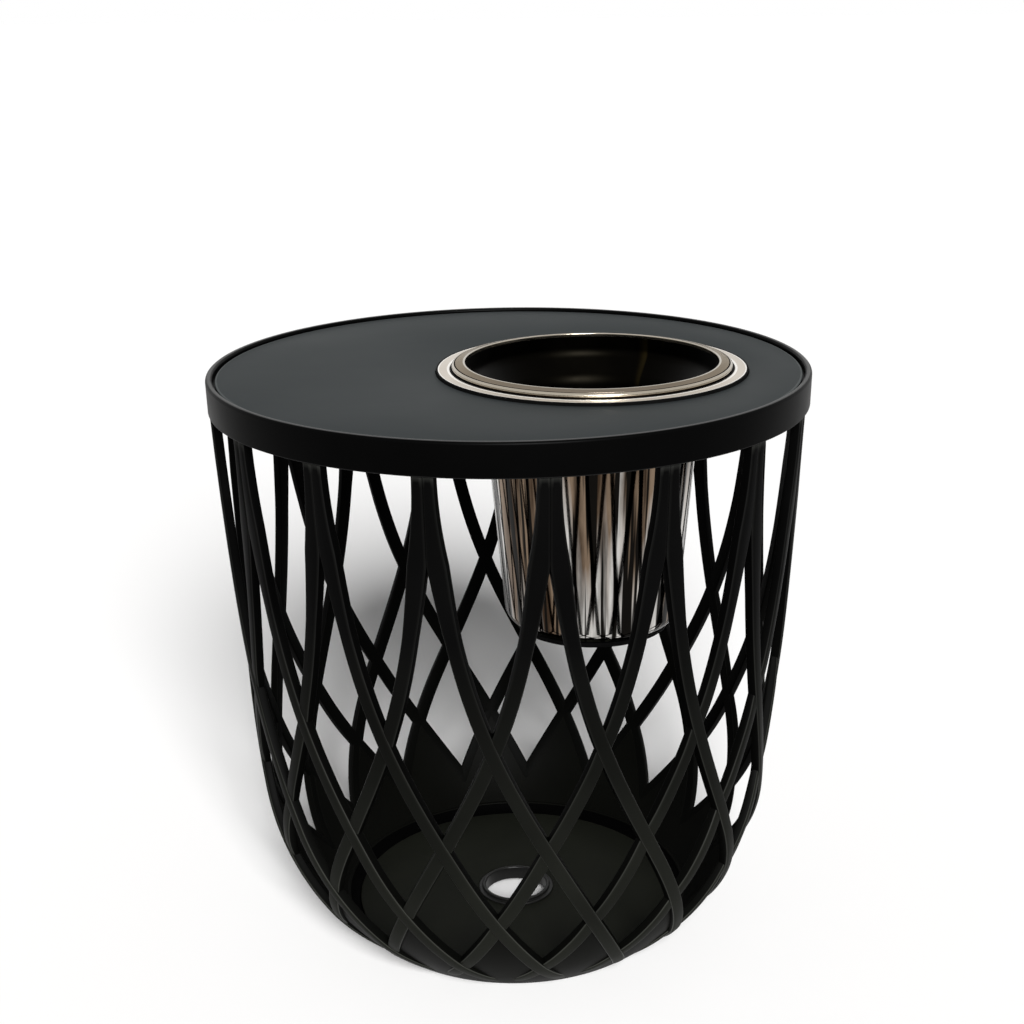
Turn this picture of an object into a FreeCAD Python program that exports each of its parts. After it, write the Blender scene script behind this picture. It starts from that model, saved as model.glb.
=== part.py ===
import FreeCAD, Part
import Sketcher
import math
import os
import re

# Ice bucket coffee table: a lattice basket that stands on the ground, a round
# top that lifts off it, and a steel bucket that lifts out of a hole in the top.
# Millimetres, Z up, origin on the ground under the middle of the basket.
# The bucket's hole lies towards +X.

SIZES = {
    # whole table
    "table_height": 435.0,
    "top_radius": 215.0,
    "seat_gap": 0.3,
    # tray of the top: bead, skirt and floor
    "bead_width": 5.5,
    "skirt_setback": 0.7,
    "skirt_height": 23.5,
    "skirt_wall": 2.5,
    "tray_floor": 2.5,
    "tray_rib_wall": 2.2,
    "tray_rib_depth": 9.0,
    "tray_rib_count": 12,
    "locating_wall": 2.5,
    "locating_gap": 0.5,
    # plate that lies in the tray
    "plate_recess": 2.6,
    "plate_thickness": 3.1,
    "plate_gap": 1.2,
    "plate_edge": 0.5,
    # hole for the bucket and its metal ring
    "hole_offset": 60.0,
    "hole_radius": 95.0,
    "hole_collar_wall": 2.5,
    "hole_collar_depth": 11.0,
    "trim_flange": 13.5,
    "trim_thickness": 1.8,
    "trim_collar_wall": 2.2,
    "trim_collar_depth": 12.0,
    "trim_gap": 0.3,
    "trim_seat": 0.4,
    "gasket_inset": 1.0,
    "gasket_width": 2.6,
    "gasket_height": 1.0,
    # bucket
    "bucket_height": 203.0,
    "bucket_wall": 1.0,
    "bucket_base_radius": 60.0,
    "bucket_waist_radius": 81.0,
    "bucket_neck_gap": 0.7,
    "bucket_corner": 10.0,
    "bucket_flare": 17.0,
    "bucket_flare_top": 12.0,
    "bucket_flare_radius": 14.0,
    "rim_overhang": 5.2,
    "rim_height": 4.5,
    "rim_cover": 2.0,
    "base_ring_height": 5.0,
    "base_ring_width": 9.0,
    "base_ring_inset": 1.0,
    # outline of the basket
    "rib_setback": 0.9,
    "bend_height": 125.0,
    "bend_radius": 191.3,
    "bend_slope": 6.0,
    "bowl_arc_radius": 190.0,
    # ribs of the lattice
    "rib_pairs": 17,
    "pair_turn": 0.5,
    "rib_width": 9.5,
    "rib_top_width": 7.2,
    "rib_fork_width": 12.9,
    "rib_depth": 7.5,
    "rib_step": 0.8,
    "rib_chamfer": 2.0,
    "fork_lean": 8.0,
    "rib_lean": 28.5,
    "twin_length": 59.0,
    "neck_length": 52.0,
    "lean_length": 220.0,
    "rib_seam": 0.1,
    "lap_gap": 0.35,
    # ring on top of the ribs
    "ring_gap": 0.8,
    "ring_wall": 3.0,
    "ring_width": 12.5,
    # bowl at the bottom
    "rib_proud": 4.0,
    "bowl_wall": 3.5,
    "floor_height": 4.0,
    "floor_wall": 3.5,
    "foot_inner_radius": 104.0,
    "pad_height": 1.5,
    "pad_radius": 6.0,
    "pad_circle": 112.0,
    "pad_count": 6,
    # loose floor plate and drain collar
    "floor_plate_thickness": 3.0,
    "floor_plate_groove": 6.0,
    "drain_radius": 23.8,
    "drain_tube_wall": 3.2,
    "drain_flange": 2.4,
    "drain_rise": 4.0,
    "drain_gap": 0.2,
}

# Sizes that follow from the ones above.
FORMULAS = {
    "skirt_outer": "=top_radius - skirt_setback",
    "skirt_inner": "=skirt_outer - skirt_wall",
    "skirt_foot": "=table_height - skirt_height",
    "bead_inner": "=top_radius - bead_width",
    "plate_top": "=table_height - plate_recess",
    "plate_foot": "=plate_top - plate_thickness",
    "tray_foot": "=plate_foot - tray_floor",
    "ring_top": "=tray_foot - seat_gap",
    "ring_outer": "=skirt_inner - ring_gap",
    "ring_inner": "=ring_outer - ring_width",
    "rib_top": "=skirt_foot - seat_gap",
    "rib_top_radius": "=skirt_outer - rib_setback",
    "trim_top": "=plate_top + trim_thickness",
    "trim_edge": "=hole_radius + trim_flange",
    "plate_hole": "=trim_edge + trim_seat",
    "trim_inner": "=hole_radius - trim_gap - trim_collar_wall",
    "gasket_inner": "=trim_inner + gasket_inset",
    "gasket_top": "=trim_top + gasket_height",
    "neck_radius": "=trim_inner - bucket_neck_gap",
    "rim_foot": "=gasket_top + seat_gap",
    "rim_top": "=rim_foot + rim_height",
    "rim_radius": "=neck_radius + rim_overhang",
    "bucket_foot": "=rim_top - bucket_height",
    "shell_foot": "=bucket_foot + base_ring_height",
    "shell_top": "=rim_top - rim_cover",
    "bowl_centre_z": "=bend_height + bowl_arc_radius * sin(bend_slope * 1 deg)",
    "bowl_centre_r": "=bend_radius - bowl_arc_radius * cos(bend_slope * 1 deg)",
    "wall_outer_arc": "=bowl_arc_radius - rib_proud",
    "wall_inner_arc": "=wall_outer_arc - bowl_wall",
    "floor_top": "=floor_height + floor_wall",
    "floor_plate_top": "=floor_top + floor_plate_thickness",
    "drain_tube_outer": "=drain_radius + drain_tube_wall",
    "drain_hole": "=drain_tube_outer + drain_gap",
    "drain_flange_radius": "=drain_tube_outer + drain_flange",
}

doc = FreeCAD.newDocument("IceBucketTable")
sheet = doc.addObject("Spreadsheet::Sheet", "Sizes")


def fill_sheet():
    """Write every size into its own named cell."""
    row = 0
    for alias, value in list(SIZES.items()) + list(FORMULAS.items()):
        row += 1
        sheet.set("A%d" % row, alias)
        sheet.set("B%d" % row, str(value))
        sheet.setAlias("B%d" % row, alias)
    doc.recompute()


def size(alias):
    """The number that the sheet holds under this name."""
    return float(sheet.get(alias))


def cell(expression):
    """Write 'a + b' as an expression on the sheet's cells."""
    names = set(SIZES) | set(FORMULAS) | set(LEVELS)
    return re.sub("[a-z_]+", lambda word: "Sizes." * (word.group() in names) + word.group(), expression)


# Outline of the lattice and the rib law

LEVELS = {}


def outline_radius(height):
    """Radius of the ribs' outer faces at a height above the ground."""
    rise = height - size("bend_height")
    if rise < 0:
        drop = size("bowl_centre_z") - height
        return size("bowl_centre_r") + math.sqrt(size("bowl_arc_radius") ** 2 - drop ** 2)
    slope = math.tan(math.radians(size("bend_slope")))
    full_rise = size("rib_top") - size("bend_height")
    bulge = (size("rib_top_radius") - size("bend_radius") - slope * full_rise) / full_rise ** 2
    return size("bend_radius") + slope * rise + bulge * rise ** 2


def outline_slope(height):
    """Angle of the outline from upright, in radians."""
    step = 0.01
    rise = outline_radius(height + step) - outline_radius(height - step)
    return math.atan(rise / (2 * step))


def rib_width_at(height):
    """A rib widens beside its twin down to the fork, then narrows to its full run."""
    fork = size("rib_fork_width")
    drop = (size("rib_top") - height) / size("twin_length")
    if drop <= 1:
        return size("rib_top_width") + max(0.0, drop) ** 2 * (fork - size("rib_top_width"))
    share = min(1.0, (fork_height() - height) / size("neck_length"))
    return fork + share * (size("rib_width") - fork)


def fork_height():
    """Height at which the two ribs of a pair come apart."""
    return size("rib_top") - size("twin_length")


class RibLaw:
    """Angle of a rib's middle from the line where its pair starts.

    The two ribs of a pair run side by side down to their fork. There they part
    with a small lean, which grows smoothly to the full lean and then stays.
    """

    def __init__(self, step=0.5):
        self.step = step
        self.pitch = 2 * math.pi / int(size("rib_pairs"))
        self.top = size("rib_top")
        self.angles = []
        height = self.top
        angle = 0.0
        while height > 0:
            if height >= fork_height():
                angle = (rib_width_at(height) + size("rib_seam")) / 2 / outline_radius(height)
            else:
                along = step / math.cos(outline_slope(height))
                angle += math.tan(self.planned_lean(height)) * along / outline_radius(height)
            self.angles.append(angle)
            height -= step

    def planned_lean(self, height):
        """Lean below the fork, eased in and out."""
        share = min(1.0, (fork_height() - height) / size("lean_length"))
        eased = share * share * (3 - 2 * share)
        return math.radians(size("fork_lean") + eased * (size("rib_lean") - size("fork_lean")))

    def angle(self, height):
        place = max(0.0, self.top - height) / self.step
        index = min(int(place), len(self.angles) - 2)
        share = place - index
        return self.angles[index] * (1 - share) + self.angles[index + 1] * share

    def lean(self, height):
        """Lean of the rib from its upright plane, in radians."""
        turn = (self.angle(height - 1) - self.angle(height + 1)) / 2
        return math.atan(turn * outline_radius(height) * math.cos(outline_slope(height)))

    def crossing(self, pitches):
        """Height at which a rib has moved this many pitches round."""
        low, high = 0.0, self.top
        while high - low > 0.001:
            middle = (low + high) / 2
            if self.angle(middle) > pitches * self.pitch:
                low = middle
            else:
                high = middle
        return (low + high) / 2


def half_angle(law, height, extra=0.0):
    """Half the angle that a rib covers in a level cut."""
    width = rib_width_at(height)
    if height < fork_height():
        width /= math.cos(law.lean(height))
    return (width / 2 + extra) / outline_radius(height)


def section(law, height, side, setback, depth, extra=0.0, chamfer=None):
    """Level cut of a rib: six corners, the two outer ones chamfered."""
    chamfer = size("rib_chamfer") if chamfer is None else chamfer
    slant = 1 / math.cos(outline_slope(height))
    outer = outline_radius(height) - setback * slant
    inner = outer - depth * slant
    middle = side * law.angle(height)
    half = half_angle(law, height, extra)
    cut = chamfer / outer
    corners = [
        (inner, middle - half),
        (inner, middle + half),
        (outer - chamfer * slant, middle + half),
        (outer, middle + half - cut),
        (outer, middle - half + cut),
        (outer - chamfer * slant, middle - half),
    ]
    if chamfer == 0:
        corners = [corners[0], corners[1], corners[3], corners[4]]
    return [FreeCAD.Vector(r * math.cos(a), r * math.sin(a), height) for r, a in corners]


def skinned(sections):
    """Solid with flat facets through level cuts that have the same corners."""
    count = len(sections[0])
    faces = [Part.Face(Part.makePolygon(cut + cut[:1])) for cut in (sections[0], sections[-1])]
    for upper, lower in zip(sections, sections[1:]):
        for i in range(count):
            j = (i + 1) % count
            for corners in ((upper[i], upper[j], lower[i]), (upper[j], lower[j], lower[i])):
                faces.append(Part.Face(Part.makePolygon(list(corners) + [corners[0]])))
    solid = Part.makeSolid(Part.makeShell(faces))
    if solid.Volume < 0:
        solid.reverse()
    return solid


def turned(shape, angle):
    """A copy turned about the table's axis, the angle in radians."""
    copy = shape.copy()
    copy.rotate(FreeCAD.Vector(), FreeCAD.Vector(0, 0, 1), math.degrees(angle))
    return copy


def spread(top, foot, count):
    """Evenly spaced heights from top to foot."""
    return [top + (foot - top) * i / (count - 1) for i in range(count)]


def lattice_rib(law, side, foot):
    """One rib from the top ring to the bowl, half-lapped at its two crossings."""
    setback = 0.0 if side > 0 else size("rib_step")
    heights = spread(size("rib_top"), fork_height(), 4) + spread(fork_height(), foot, 9)[1:]
    rib = skinned([section(law, z, side, setback, size("rib_depth")) for z in heights])
    half_depth = size("rib_depth") / 2
    for pitches in (0.5, 1.0):
        level = law.crossing(pitches)
        reach = (1 / math.sin(law.lean(level)) + 1) * size("rib_width") / 2
        other = -side
        if side > 0:
            lap_setback, lap_depth = half_depth - size("lap_gap") / 2, 2 * half_depth
        else:
            lap_setback, lap_depth = -size("rib_step"), half_depth + size("rib_step") + size("lap_gap") / 2
        levels = spread(level + reach, level - reach, 4)
        cuts = [section(law, z, other, lap_setback, lap_depth, size("lap_gap"), 0) for z in levels]
        tool = skinned(cuts)
        rib = rib.cut(turned(tool, side * 2 * pitches * law.pitch))
    return rib.Solids[0] if len(rib.Solids) == 1 else rib


def bowl_rib(law, side, head):
    """The stretch of one rib that is moulded on the outside of the bowl."""
    setback = 0.0 if side > 0 else size("rib_step")
    buried = size("rib_proud") + size("bowl_wall") / 2 + (0.2 if side > 0 else -0.2) - setback
    peak = law.crossing(1.5)
    foot = size("floor_height")
    cuts = [section(law, head, side, setback, size("rib_depth"))]
    for height in spread(peak, foot, 7):
        cuts.append(section(law, height, side, setback, buried))
    return skinned(cuts)


# Sketches and bodies

def origin_plane(body, role):
    return [f for f in body.Origin.OriginFeatures if f.Role == role][0]


def new_body(name):
    body = doc.addObject("PartDesign::Body", name)
    body.Label = name
    return body


def new_sketch(body, name, plane, offset=None):
    sketch = body.newObject("Sketcher::SketchObject", name)
    sketch.AttachmentSupport = [(origin_plane(body, plane), "")]
    sketch.MapMode = "FlatFace"
    if offset:
        sketch.setExpression("AttachmentOffset.Base.z", cell(offset))
    return sketch


def bind(sketch, constraint, expression):
    """Add a dimension and tie it to the sheet."""
    index = sketch.addConstraint(constraint)
    sketch.setExpression("Constraints[%d]" % index, cell(expression))


def arc_between(start, end, radius, side):
    """The short arc from start to end, its centre to the left when side is 1."""
    chord = end.sub(start)
    middle = (start + end) * 0.5
    across = FreeCAD.Vector(-chord.y, chord.x, 0).normalize()
    reach = math.sqrt(max(radius ** 2 - (chord.Length / 2) ** 2, 0.0))
    centre = middle + across * (reach * side)
    first, last = (start, end) if side > 0 else (end, start)
    a0 = math.atan2(first.y - centre.y, first.x - centre.x)
    a1 = math.atan2(last.y - centre.y, last.x - centre.x)
    circle = Part.Circle(centre, FreeCAD.Vector(0, 0, 1), radius)
    return Part.ArcOfCircle(circle, a0, a1 if a1 > a0 else a1 + 2 * math.pi)


def closed_profile(sketch, corners, arcs=None):
    """Draw a closed outline through corners given as pairs of expressions.

    arcs maps a corner's index to (radius expression, side) where the stretch
    that leaves that corner is an arc.
    """
    arcs = arcs or {}
    points = [FreeCAD.Vector(sketch.evalExpression(cell(x)), sketch.evalExpression(cell(y)), 0)
              for x, y in corners]
    ends = []
    for i, start in enumerate(points):
        end = points[(i + 1) % len(points)]
        if i in arcs:
            radius, side = arcs[i]
            value = float(sketch.evalExpression(cell(radius)))
            index = sketch.addGeometry(arc_between(start, end, value, side))
            ends.append((index, 1, 2) if side > 0 else (index, 2, 1))
            bind(sketch, Sketcher.Constraint("Radius", index, value), radius)
        else:
            index = sketch.addGeometry(Part.LineSegment(start, end))
            ends.append((index, 1, 2))
    for i, (index, first, last) in enumerate(ends):
        after, after_first, _ = ends[(i + 1) % len(ends)]
        sketch.addConstraint(Sketcher.Constraint("Coincident", index, last, after, after_first))
        place_corner(sketch, index, first, points[i], corners[i])


def place_corner(sketch, index, end, point, expressions):
    """Tie one corner's two coordinates to the sheet."""
    for kind, axis, value, text in (("DistanceX", -2, point.x, expressions[0]),
                                    ("DistanceY", -1, point.y, expressions[1])):
        if abs(value) < 1e-9:
            sketch.addConstraint(Sketcher.Constraint("PointOnObject", index, end, axis))
        else:
            bind(sketch, Sketcher.Constraint(kind, -1, 1, index, end, value), text)


def circle(sketch, radius, x=None):
    """Draw a circle on the X axis, or round the origin."""
    value = float(sketch.evalExpression(cell(radius)))
    place = float(sketch.evalExpression(cell(x))) if x else 0.0
    centre = FreeCAD.Vector(place, 0, 0)
    index = sketch.addGeometry(Part.Circle(centre, FreeCAD.Vector(0, 0, 1), value))
    bind(sketch, Sketcher.Constraint("Radius", index, value), radius)
    if x:
        sketch.addConstraint(Sketcher.Constraint("PointOnObject", index, 3, -1))
        bind(sketch, Sketcher.Constraint("DistanceX", -1, 1, index, 3, place), x)
    else:
        sketch.addConstraint(Sketcher.Constraint("Coincident", index, 3, -1, 1))


def revolve(body, name, corners, arcs=None):
    sketch = new_sketch(body, name + "_profile", "XZ_Plane")
    closed_profile(sketch, corners, arcs)
    feature = body.newObject("PartDesign::Revolution", name + "_revolution")
    feature.Profile = sketch
    feature.ReferenceAxis = (sketch, ["V_Axis"])
    feature.Angle = 360
    sketch.Visibility = False
    return feature


def pad(body, sketch, name, length, reverse=False):
    feature = body.newObject("PartDesign::Pad", name)
    feature.Profile = sketch
    feature.setExpression("Length", cell(length))
    feature.Reversed = reverse
    return feature


def pocket(body, sketch, name, length, reverse=False):
    feature = body.newObject("PartDesign::Pocket", name)
    feature.Profile = sketch
    feature.setExpression("Length", cell(length))
    feature.Reversed = reverse
    return feature


def polar(body, feature, name, count):
    """Repeat a feature evenly round the table's axis."""
    pattern = body.newObject("PartDesign::PolarPattern", name)
    pattern.Originals = [feature]
    pattern.Axis = (origin_plane(body, "Z_Axis"), [""])
    pattern.Angle = 360
    pattern.setExpression("Occurrences", cell(count))
    body.Tip = pattern
    return pattern


def fillet(body, base, name, edges, radius):
    doc.recompute()
    feature = body.newObject("PartDesign::Fillet", name)
    feature.Base = (base, edges)
    feature.setExpression("Radius", cell(radius))
    body.Tip = feature
    return feature


# Pieces of the basket

def wall_radius(arc, height):
    """Radius of the bowl's outer or inner wall at a height, as an expression."""
    return "bowl_centre_r + sqrt( pow( %s ; 2 ) - pow( bowl_centre_z - %s ; 2 ) )" % (arc, height)


def bowl_shell():
    """Bowl without its ribs: foot, floor and wall, with a saw-tooth upper edge."""
    body = new_body("bowl_shell")
    outer, inner = "wall_outer_arc", "wall_inner_arc"
    corners = [
        ("drain_hole", "floor_height"),
        ("foot_inner_radius", "floor_height"),
        ("foot_inner_radius", "pad_height"),
        (wall_radius(outer, "pad_height"), "pad_height"),
        (wall_radius(outer, "peak_height"), "peak_height"),
        (wall_radius(inner, "peak_height"), "peak_height"),
        (wall_radius(inner, "floor_top"), "floor_top"),
        ("drain_hole", "floor_top"),
    ]
    revolve(body, "bowl", corners, {3: (outer, 1), 5: (inner, -1)})
    sketch = new_sketch(body, "tooth_gap", "XZ_Plane")
    closed_profile(sketch, [
        ("notch_top_half", "peak_height + 1"),
        ("notch_middle_half", "notch_middle"),
        ("0", "valley_height"),
        ("- notch_middle_half", "notch_middle"),
        ("- notch_top_half", "peak_height + 1"),
    ])
    gap = pocket(body, sketch, "tooth_gap_pocket", "bowl_arc_radius + bend_radius", True)
    polar(body, gap, "tooth_gaps", "rib_pairs")
    return body


def pair_angle(law, k):
    """Where pair k starts, seen from above: +X lies between two pairs."""
    return (k + size("pair_turn")) * law.pitch


def basket_bowl(law, head):
    shell = bowl_shell()
    doc.recompute()
    valley = 2.0 * law.pitch
    start = turned(shell.Shape, math.pi / 2 + valley + pair_angle(law, 0))
    ribs = []
    for side in (1, -1):
        rib = bowl_rib(law, side, head)
        ribs += [turned(rib, pair_angle(law, k)) for k in range(int(size("rib_pairs")))]
    bowl = start.multiFuse(ribs)
    feature = doc.addObject("Part::Feature", "basket_bowl")
    feature.Shape = bowl.Solids[0] if len(bowl.Solids) == 1 else bowl
    return feature


def lattice_ribs(law, head):
    pieces = []
    for side, name in ((1, "right_rib"), (-1, "left_rib")):
        shape = lattice_rib(law, side, head)
        for k in range(int(size("rib_pairs"))):
            feature = doc.addObject("Part::Feature", "%s_%02d" % (name, k + 1))
            feature.Shape = shape
            turn = FreeCAD.Rotation(FreeCAD.Vector(0, 0, 1), math.degrees(pair_angle(law, k)))
            feature.Placement = FreeCAD.Placement(FreeCAD.Vector(), turn)
            pieces.append(feature)
    return pieces


def basket_top_ring():
    """Channel ring inside the skirt: the ribs end under it, the tray rests on it."""
    body = new_body("basket_top_ring")
    web = "ring_outer - ring_wall"
    revolve(body, "ring", [
        ("ring_inner", "rib_top"),
        ("ring_outer", "rib_top"),
        ("ring_outer", "ring_top"),
        ("ring_inner", "ring_top"),
        ("ring_inner", "ring_top - ring_wall"),
        (web, "ring_top - ring_wall"),
        (web, "rib_top + ring_wall"),
        ("ring_inner", "rib_top + ring_wall"),
    ])
    return body


def floor_plate():
    body = new_body("floor_plate")
    edge = wall_radius("wall_inner_arc", "floor_top") + " - floor_plate_groove"
    revolve(body, "floor_plate", [
        ("drain_hole", "floor_top"),
        (edge, "floor_top"),
        (edge, "floor_plate_top"),
        ("drain_hole", "floor_plate_top"),
    ])
    return body


def drain_collar():
    """Raised collar round the drain hole, its tube passing through both floors."""
    body = new_body("drain_collar")
    crown = "floor_plate_top + drain_rise"
    revolve(body, "drain_collar", [
        ("drain_radius", "floor_height"),
        ("drain_tube_outer", "floor_height"),
        ("drain_tube_outer", "floor_plate_top"),
        ("drain_flange_radius", "floor_plate_top"),
        ("drain_flange_radius", crown + " - 1.5"),
        ("drain_flange_radius - 1.5", crown),
        ("drain_radius + 1", crown),
        ("drain_radius", crown + " - 1"),
    ])
    return body


def foot_pads():
    body = new_body("foot_pads")
    sketch = new_sketch(body, "pad_circle_sketch", "XY_Plane")
    circle(sketch, "pad_radius", "pad_circle")
    first = pad(body, sketch, "foot_pad", "pad_height")
    polar(body, first, "foot_pad_pattern", "pad_count")
    return body


# Pieces of the top

def top_tray():
    """Black tray: rounded bead, skirt, floor with ribs under it, bucket hole."""
    body = new_body("top_tray")
    locating_outer = "ring_inner - locating_gap"
    locating_inner = "ring_inner - locating_gap - locating_wall"
    rib_foot = "tray_foot - tray_rib_depth"
    bead_side = "table_height - bead_width / 2"
    revolve(body, "tray", [
        ("0", "tray_foot"),
        (locating_inner, "tray_foot"),
        (locating_inner, rib_foot),
        (locating_outer, rib_foot),
        (locating_outer, "tray_foot"),
        ("skirt_inner", "tray_foot"),
        ("skirt_inner", "skirt_foot"),
        ("skirt_outer", "skirt_foot"),
        ("skirt_outer", bead_side + " - 2"),
        ("top_radius", bead_side + " - 1"),
        ("top_radius", bead_side),
        ("top_radius - bead_width / 2", "table_height"),
        ("bead_inner", bead_side),
        ("bead_inner", "plate_foot"),
        ("0", "plate_foot"),
    ], {10: ("bead_width / 2", 1), 11: ("bead_width / 2", 1)})
    sketch = new_sketch(body, "tray_rib_sketch", "XY_Plane", rib_foot)
    closed_profile(sketch, [
        ("0", "- tray_rib_wall / 2"),
        (locating_inner + " + locating_wall / 2", "- tray_rib_wall / 2"),
        (locating_inner + " + locating_wall / 2", "tray_rib_wall / 2"),
        ("0", "tray_rib_wall / 2"),
    ])
    rib = pad(body, sketch, "tray_rib", "tray_rib_depth + tray_floor / 2")
    polar(body, rib, "tray_ribs", "tray_rib_count")
    sketch = new_sketch(body, "hole_collar_sketch", "XY_Plane", "plate_foot - hole_collar_depth")
    circle(sketch, "hole_radius + hole_collar_wall", "hole_offset")
    collar = pad(body, sketch, "hole_collar", "hole_collar_depth - tray_floor / 2")
    body.Tip = collar
    sketch = new_sketch(body, "hole_sketch", "XY_Plane", "plate_foot + 1")
    circle(sketch, "hole_radius", "hole_offset")
    body.Tip = pocket(body, sketch, "bucket_hole", "hole_collar_depth + 2")
    return body


def top_plate():
    """Grey plate that lies in the tray, cut out round the metal ring."""
    body = new_body("top_plate")
    sketch = new_sketch(body, "plate_sketch", "XY_Plane", "plate_foot")
    circle(sketch, "bead_inner - plate_gap")
    circle(sketch, "plate_hole", "hole_offset")
    plate = pad(body, sketch, "plate", "plate_thickness")
    doc.recompute()
    top = [i + 1 for i, e in enumerate(plate.Shape.Edges)
           if abs(e.BoundBox.ZMin - size("plate_top")) < 0.01 and abs(e.BoundBox.ZMax - size("plate_top")) < 0.01]
    outer = max(top, key=lambda n: plate.Shape.Edges[n - 1].Length)
    fillet(body, plate, "plate_edge_fillet", ["Edge%d" % outer], "plate_edge")
    return body


def moved_to_hole(body):
    """Set a piece that was drawn round the origin over the bucket's hole."""
    body.setExpression("Placement.Base.x", cell("hole_offset"))
    return body


def bucket_trim_ring():
    """Metal ring that lines the hole, its turned-down edge standing in the tray."""
    body = new_body("bucket_trim_ring")
    collar_outer = "hole_radius - trim_gap"
    revolve(body, "trim", [
        ("trim_inner", "trim_top - trim_collar_depth"),
        (collar_outer, "trim_top - trim_collar_depth"),
        (collar_outer, "plate_top"),
        ("trim_edge - trim_collar_wall", "plate_top"),
        ("trim_edge - trim_collar_wall", "plate_foot"),
        ("trim_edge", "plate_foot"),
        ("trim_edge", "trim_top - 0.8"),
        ("trim_edge - 0.8", "trim_top"),
        ("trim_inner + 0.6", "trim_top"),
        ("trim_inner", "trim_top - 0.6"),
    ])
    return moved_to_hole(body)


def bucket_gasket():
    body = new_body("bucket_gasket")
    revolve(body, "gasket", [
        ("gasket_inner", "trim_top"),
        ("gasket_inner + gasket_width", "trim_top"),
        ("gasket_inner + gasket_width", "gasket_top"),
        ("gasket_inner", "gasket_top"),
    ])
    return moved_to_hole(body)


# Pieces of the bucket

def bucket_shell():
    """Steel bucket: flat base, tapered wall, flare under the rim."""
    body = new_body("bucket_shell")
    flare_foot = "rim_foot - bucket_flare - bucket_flare_top"
    flare_top = "rim_foot - bucket_flare_top"
    revolve(body, "bucket", [
        ("0", "shell_foot"),
        ("bucket_base_radius - bucket_corner", "shell_foot"),
        ("bucket_base_radius", "shell_foot + bucket_corner"),
        ("bucket_waist_radius", flare_foot),
        ("neck_radius", flare_top),
        ("neck_radius", "shell_top"),
        ("neck_radius - bucket_wall", "shell_top"),
        ("neck_radius - bucket_wall", flare_top),
        ("bucket_waist_radius - bucket_wall", flare_foot),
        ("bucket_base_radius - bucket_wall", "shell_foot + bucket_corner"),
        ("bucket_base_radius - bucket_corner", "shell_foot + bucket_wall"),
        ("0", "shell_foot + bucket_wall"),
    ], {1: ("bucket_corner", 1), 9: ("bucket_corner - bucket_wall", -1)})
    return moved_to_hole(body)


def bucket_rim():
    """Rolled rim that caps the shell's edge and rests on the gasket."""
    body = new_body("bucket_rim")
    roll = "rim_radius - rim_height / 2"
    revolve(body, "rim", [
        ("neck_radius + 0.05", "rim_foot"),
        (roll, "rim_foot"),
        ("rim_radius", "rim_foot + rim_height / 2"),
        (roll, "rim_top"),
        ("neck_radius - bucket_wall + 0.8", "rim_top - 0.6"),
        ("neck_radius - bucket_wall", "rim_top - 1.2"),
        ("neck_radius - bucket_wall", "shell_top"),
        ("neck_radius + 0.05", "shell_top"),
    ], {1: ("rim_height / 2", 1), 2: ("rim_height / 2", 1)})
    return moved_to_hole(body)


def bucket_base_ring():
    """Rubber ring that the bucket stands on."""
    body = new_body("bucket_base_ring")
    outer = "bucket_base_radius - base_ring_inset"
    revolve(body, "base_ring", [
        (outer + " - base_ring_width", "bucket_foot"),
        (outer, "bucket_foot"),
        (outer, "shell_foot"),
        (outer + " - base_ring_width", "shell_foot"),
    ])
    return moved_to_hole(body)


# The whole table

def add_levels(law):
    """Heights and widths that follow from the rib law, as cells of their own."""
    peak = law.crossing(1.5)
    valley = law.crossing(2.0)
    middle = (peak + valley) / 2
    LEVELS["peak_height"] = peak
    LEVELS["valley_height"] = valley
    LEVELS["notch_middle"] = middle
    for name, height in (("notch_top_half", peak + 1), ("notch_middle_half", middle)):
        wall = outline_radius(height) - size("rib_proud") - size("bowl_wall") / 2
        LEVELS[name] = wall * math.sin(2 * law.pitch - law.angle(height))
    row = len(SIZES) + len(FORMULAS)
    for alias, value in LEVELS.items():
        row += 1
        sheet.set("A%d" % row, alias)
        sheet.set("B%d" % row, "%.4f" % value)
        sheet.setAlias("B%d" % row, alias)
    doc.recompute()


def rib_foot_height(law):
    """Level where the lattice meets the bowl: neighbours are just clear there."""
    height = law.crossing(1.5)
    while law.angle(height) + half_angle(law, height, size("rib_seam")) > 1.5 * law.pitch:
        height += 0.25
    return height


def check(piece):
    """Stop if a piece failed to build."""
    if "Invalid" in piece.State or "Error" in piece.State:
        raise RuntimeError("failed: " + piece.Label)
    if piece.Shape.isNull() or not piece.Shape.isValid() or piece.Shape.Volume <= 0:
        raise RuntimeError("bad shape: " + piece.Label)


def main():
    fill_sheet()
    law = RibLaw()
    add_levels(law)
    head = rib_foot_height(law)
    pieces = [basket_bowl(law, head)] + lattice_ribs(law, head)
    pieces += [basket_top_ring(), floor_plate(), drain_collar(), foot_pads()]
    pieces += [top_tray(), top_plate(), bucket_trim_ring(), bucket_gasket()]
    pieces += [bucket_shell(), bucket_rim(), bucket_base_ring()]
    doc.recompute()
    for item in doc.Objects:
        if "Invalid" in item.State or "Error" in item.State:
            raise RuntimeError("failed: " + item.Label)
    os.makedirs("parts", exist_ok=True)
    for piece in pieces:
        check(piece)
        piece.Shape.exportStep("parts/%s.step" % piece.Label)
    print("pieces", len(pieces), "rib foot", round(head, 2), LEVELS)


main()
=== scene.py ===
import bmesh
import bpy
import math
from mathutils import Matrix, Vector


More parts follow.
